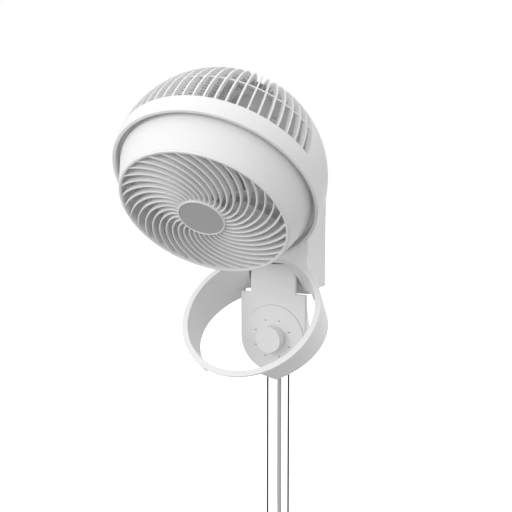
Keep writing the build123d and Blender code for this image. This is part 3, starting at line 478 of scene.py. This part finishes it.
def swirl_rib(turn):
    """One rib of the grille: a deep thin bar with a round front edge along a swirling path."""
    r0, r1 = HUB_BORE_R + 1.0, RIM_BORE_R + 1.2
    path = []
    for k in range(RIB_STEPS + 1):
        r = r0 + (r1 - r0) * k / RIB_STEPS
        a = turn + rib_angle(r)
        share = (r - r0) / (r1 - r0)
        height = RIB_HUB_Z + (RIB_RIM_Z - RIB_HUB_Z) * share**RIB_DROP_POWER
        path.append(Vector((r * cos(a), r * sin(a), height)))
    half = RIB_W / 2
    section = [(-0.8 * half, -RIB_DEPTH), (0.8 * half, -RIB_DEPTH)]
    section += [(half * cos(radians(a)), half * sin(radians(a)) - half) for a in range(0, 181, 30)]
    rings = []
    for k, at in enumerate(path):
        along = path[min(k + 1, RIB_STEPS)] - path[max(k - 1, 0)]
        across = Vector((-along.y, along.x, 0.0)).normalized()
        rings.append([(at + across * u + Vector((0.0, 0.0, v))) * MM for u, v in section])
    return skinned(rings)


def make_grille():
    """The front grille: rim, hub cup and swirl of ribs in one moulding."""
    rim = [
        (RIM_BORE_R, SKIRT_Z, 0.4),
        (SKIRT_R, SKIRT_Z, 0.4),
        (SKIRT_R, TIP_Z),
        (RIM_R, TIP_Z),
        (RIM_R, RIM_FRONT_Z, 1.1),
        (RIM_BORE_R, RIM_FRONT_Z, 1.1),
    ]
    floor_z = CAP_Z - CAP_T
    hub = [
        (HUB_R, HUB_BACK_Z, 0.4),
        (HUB_R, HUB_Z, 0.9),
        (HUB_BORE_R, HUB_Z, 0.7),
        (HUB_BORE_R, floor_z),
        (0.0, floor_z),
        (0.0, floor_z - 2.0),
        (HUB_BORE_R, floor_z - 2.0, 1.0),
        (HUB_BORE_R, HUB_BACK_Z, 0.4),
    ]
    shapes = [turned(rounded(rim)), turned(rounded(hub), 128)]
    shapes += [swirl_rib(2 * pi * k / RIBS) for k in range(RIBS)]
    mesh = mesh_from("swirl_grille", head_place(), shapes)
    add_piece("swirl_grille", mesh, WHITE, "head", "white_plastic", "front_grille")


def make_centre_cap():
    """The grey cap in the grille's hub, slightly dished, with a rounded edge."""
    edge = HUB_BORE_R - 0.15
    outline = [(0.0, CAP_Z - 0.35), (HUB_BORE_R - 3.0, CAP_Z - 0.1, 2.0), (edge, CAP_Z, 0.6)]
    outline += [(edge, CAP_Z - CAP_T), (0.0, CAP_Z - CAP_T)]
    mesh = mesh_from("dished_cap", head_place(), [turned(rounded(outline), 128)])
    add_piece("dished_cap", mesh, CAP_GREY, "head", "cap_grey", "centre_cap")


# ---------------------------------------------------------------- small pieces on the cords


def upright_place(node):
    """A placing matrix at the middle of a node's lowest face."""
    low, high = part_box(node)
    return Matrix.Translation(((low[0] + high[0]) / 2, (low[1] + high[1]) / 2, low[2]))


def node_height(node):
    """A node's height in millimetres."""
    low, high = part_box(node)
    return (high[2] - low[2]) / MM


def make_pull_bell(side):
    """A bell-shaped handle: a collar on top, a flared skirt and a hollow underneath."""
    node = f"pull_bell_{side}"
    high = node_height(node)
    left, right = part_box(node)
    rim = (right[0] - left[0]) / 2 / MM
    outline = [
        (0.0, high),
        (2.6, high, 0.8),
        (3.4, high - 4.0, 1.0),
        (3.1, high - 6.0, 3.0),
        (4.6, 0.45 * high, 12.0),
        (rim, 0.12 * high, 3.0),
        (rim - 0.2, 0.0, 0.8),
        (rim - 1.6, 0.0, 0.6),
        (3.2, 0.42 * high, 2.0),
        (0.0, 0.42 * high),
    ]
    mesh = mesh_from(f"bell_{side}", upright_place(node), [turned(rounded(outline, 6), 64)])
    return add_piece(f"bell_{side}", mesh, WHITE, f"pull_{side}", "white_plastic", node)


GLAND_FLANGE_R = 9.0
GLAND_FLANGE_H = 6.0
GLAND_STEM_R = 6.3
GLAND_STEM_H = 11.0  # from the flange's top to where the grooved sleeve starts
GLAND_TIP_R = 4.2
GLAND_GROOVES = 4
GROOVE_SHARE = 0.45  # where in each share of the sleeve its groove starts


def make_gland():
    """The soft strain relief: a flange, then a taper with grooves that let it bend."""
    high = node_height("cord_gland")
    sleeve = high - GLAND_STEM_H
    under = high - GLAND_FLANGE_H
    outline = [(0.0, high), (GLAND_FLANGE_R, high, 0.6), (GLAND_FLANGE_R, under, 1.6)]
    outline += [(GLAND_STEM_R + 0.1, under - 0.6, 0.8), (GLAND_STEM_R, sleeve, 0.6)]
    for k in range(GLAND_GROOVES):
        top = sleeve * (1.0 - (k + GROOVE_SHARE) / GLAND_GROOVES)
        r = GLAND_TIP_R + 0.1 + 2.0 * top / sleeve
        outline += [(r, top, 0.3), (r - 0.9, top - 0.2, 0.3)]
        outline += [(r - 1.0, top - 1.2, 0.3), (r - 0.2, top - 1.4, 0.3)]
    outline += [(GLAND_TIP_R, 0.0, 0.6), (0.0, 0.0)]
    mesh = mesh_from("grooved_gland", upright_place("cord_gland"), [turned(rounded(outline), 64)])
    return add_piece("grooved_gland", mesh, SHEATH, "base", "cord_grey", "cord_gland")


def make_tie():
    """The soft strap that holds the coil together, with a bead along each edge."""
    low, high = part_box("cord_tie")
    middle = (Vector(low) + Vector(high)) / 2
    half = (high[0] - low[0]) / 2 / MM
    r = (high[2] - low[2]) / 2 / MM
    outline = [(r - 1.5, -half, 0.5), (r, -half, 0.6), (r, 1.6 - half, 0.4), (r - 0.4, 2.0 - half, 0.4)]
    outline += [(r - 0.4, half - 2.0, 0.4), (r, half - 1.6, 0.4), (r, half, 0.6), (r - 1.5, half, 0.5)]
    place = Matrix.Translation(middle) @ Matrix.Rotation(pi / 2, 4, "Y")
    mesh = mesh_from("beaded_tie", place, [turned(rounded(outline), 64)])
    return add_piece("beaded_tie", mesh, TIE, "base", "tie_black", "cord_tie")


PLUG_STEPS = 48
PLUG_CORNERS = 64
PLUG_SQUARENESS = 0.55  # 1 is an ellipse, 0 a rectangle
PLUG_SHOULDER = 0.45  # share of its height where the plug starts to narrow
PLUG_NARROWING = 0.52
PLUG_EDGE = 0.06  # share of its height that is rounded at each end
GRIP_FROM = 0.42
GRIP_TO = 0.94
GRIP_PITCH = 0.065  # half a wave of the finger grooves, as a share of the height
GRIP_DEPTH = 0.9 * MM


def plug_size(t):
    """The plug's size at a share of its height: full at the pins, narrow at the cord, round at both ends."""
    narrow = 1.0 - PLUG_NARROWING * max(0.0, (t - PLUG_SHOULDER) / (1.0 - PLUG_SHOULDER)) ** 2
    low_edge = 0.10 * max(0.0, 1.0 - t / PLUG_EDGE) ** 2
    top_edge = 0.25 * max(0.0, (t - 1.0 + PLUG_EDGE) / PLUG_EDGE) ** 2
    return narrow * (1.0 - low_edge - top_edge)


def plug_groove(t):
    """Depth of the finger grooves at a share of the plug's height."""
    if not GRIP_FROM < t < GRIP_TO:
        return 0.0
    return GRIP_DEPTH * max(0.0, sin(pi * (t - GRIP_FROM) / GRIP_PITCH))


def squarish(angle):
    """A point of a rounded square of half width 1."""
    return tuple(abs(f) ** PLUG_SQUARENESS * (1 if f >= 0 else -1) for f in (cos(angle), sin(angle)))


def make_plug():
    """The moulded plug: a rounded block that narrows to the cord, with finger grooves on its flanks."""
    low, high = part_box("plug_body")
    half_w = (high[0] - low[0]) / 2
    half_d = (high[1] - low[1]) / 2
    tall = high[2] - low[2]
    rings = []
    for k in range(PLUG_STEPS + 1):
        t = k / PLUG_STEPS
        size = plug_size(t)
        groove = plug_groove(t)
        ring = []
        for m in range(PLUG_CORNERS):
            u, v = squarish(2 * pi * m / PLUG_CORNERS)
            ring.append(((half_w * size - groove) * u, (half_d * size - groove) * v, t * tall))
        rings.append(ring)
    mesh = mesh_from("grip_plug", upright_place("plug_body"), [skinned(rings)], 50.0)
    return add_piece("grip_plug", mesh, SHEATH, "base", "cord_grey", "plug_body")


# ---------------------------------------------------------------- cords


def spline_piece(name, route, diameter, material, body, slot, *replaced):
    """A round cord along one smooth curve."""
    curve = bpy.data.curves.new(name, "CURVE")
    curve.dimensions = "3D"
    curve.bevel_depth = diameter / 2
    curve.bevel_resolution = 6
    curve.resolution_u = 12
    curve.use_fill_caps = True
    spline = curve.splines.new("NURBS")
    spline.points.add(len(route) - 1)
    for point, place in zip(spline.points, route):
        point.co = (*place, 1.0)
    spline.order_u = 3
    spline.use_endpoint_u = True
    return add_piece(name, curve, material, body, slot, *replaced)


CORD_D = 6.5 * MM
CORD_Y = -65.0 * MM
HANG_Z = (-260.1 * MM, -290.0 * MM)  # points of the straight drop, above the turn into the coil
STEP_BACK = 8.0 * MM  # how far the lead leans back above the coil, clear of the left bell when that is pulled
TAIL_Z = (-378.0 * MM, -396.0 * MM)
COIL_X = 0.8 * MM
COIL_Z = -345.2 * MM
COIL_R = 36.0 * MM
COIL_TURNS = 6.125
COIL_FIRST = 135.0  # where the cord joins the coil, seen from the front
TURN_STEP = 50.0  # each turn lies this far round the bundle from the one before
TURN_R = 7.7 * MM
POINTS_PER_TURN = 24


def coil_route():
    """The turns of the coil: the cord goes round the bundle's middle a little with every turn."""
    total = int(COIL_TURNS * POINTS_PER_TURN)
    route = []
    for k in range(total + 1):
        t = COIL_TURNS * k / total
        place = radians(COIL_FIRST + 360.0 * t)
        lie = radians(TURN_STEP * t)
        r = COIL_R + TURN_R * cos(lie)
        route.append((COIL_X + r * cos(place), CORD_Y - TURN_R * sin(lie), COIL_Z + r * sin(place)))
    return route


def make_power_cord():
    """The mains lead: straight down, into its coil, then down to the plug."""
    gland_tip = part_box("cord_gland")[0][2]
    plug_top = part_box("plug_body")[1][2]
    hang = [
        (0.0, CORD_Y, gland_tip),
        (0.0, CORD_Y, gland_tip - 60.0 * MM),
        (0.0, CORD_Y, HANG_Z[0]),
        (0.0, CORD_Y + STEP_BACK, HANG_Z[1]),
    ]
    tail_x = COIL_X - COIL_R
    tail = [(tail_x, CORD_Y, z) for z in (*TAIL_Z, plug_top)]
    route = hang + coil_route() + tail
    replaced = ("power_cord", "power_cord_coil", "power_cord_tail")
    return spline_piece("mains_lead", route, CORD_D, SHEATH, "base", "cord_grey", *replaced)


def make_pull_cord(side):
    """One of the two braided pull cords."""
    low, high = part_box(f"pull_cord_{side}")
    x, y = (low[0] + high[0]) / 2, (low[1] + high[1]) / 2
    middle = (low[2] + high[2]) / 2
    route = [(x, y, high[2]), (x, y, middle), (x, y, low[2])]
    name = f"pull_cord_{side}"
    return spline_piece(f"braided_{name}", route, high[0] - low[0], BRAID, f"pull_{side}", "cord_dark", name)


make_camera()
gland, tie, plug = make_gland(), make_tie(), make_plug()
lead = make_power_cord()
for side in ("left", "right"):
    pull = make_pull_cord(side)
    bell = make_pull_bell(side)

make_world()
make_floor()
area_light("key", KEY_PLACE, KEY_TARGET, KEY_SIZE, KEY_POWER)
dress_nodes()
make_head_shroud()
make_nozzle()
make_grille()
make_centre_cap()
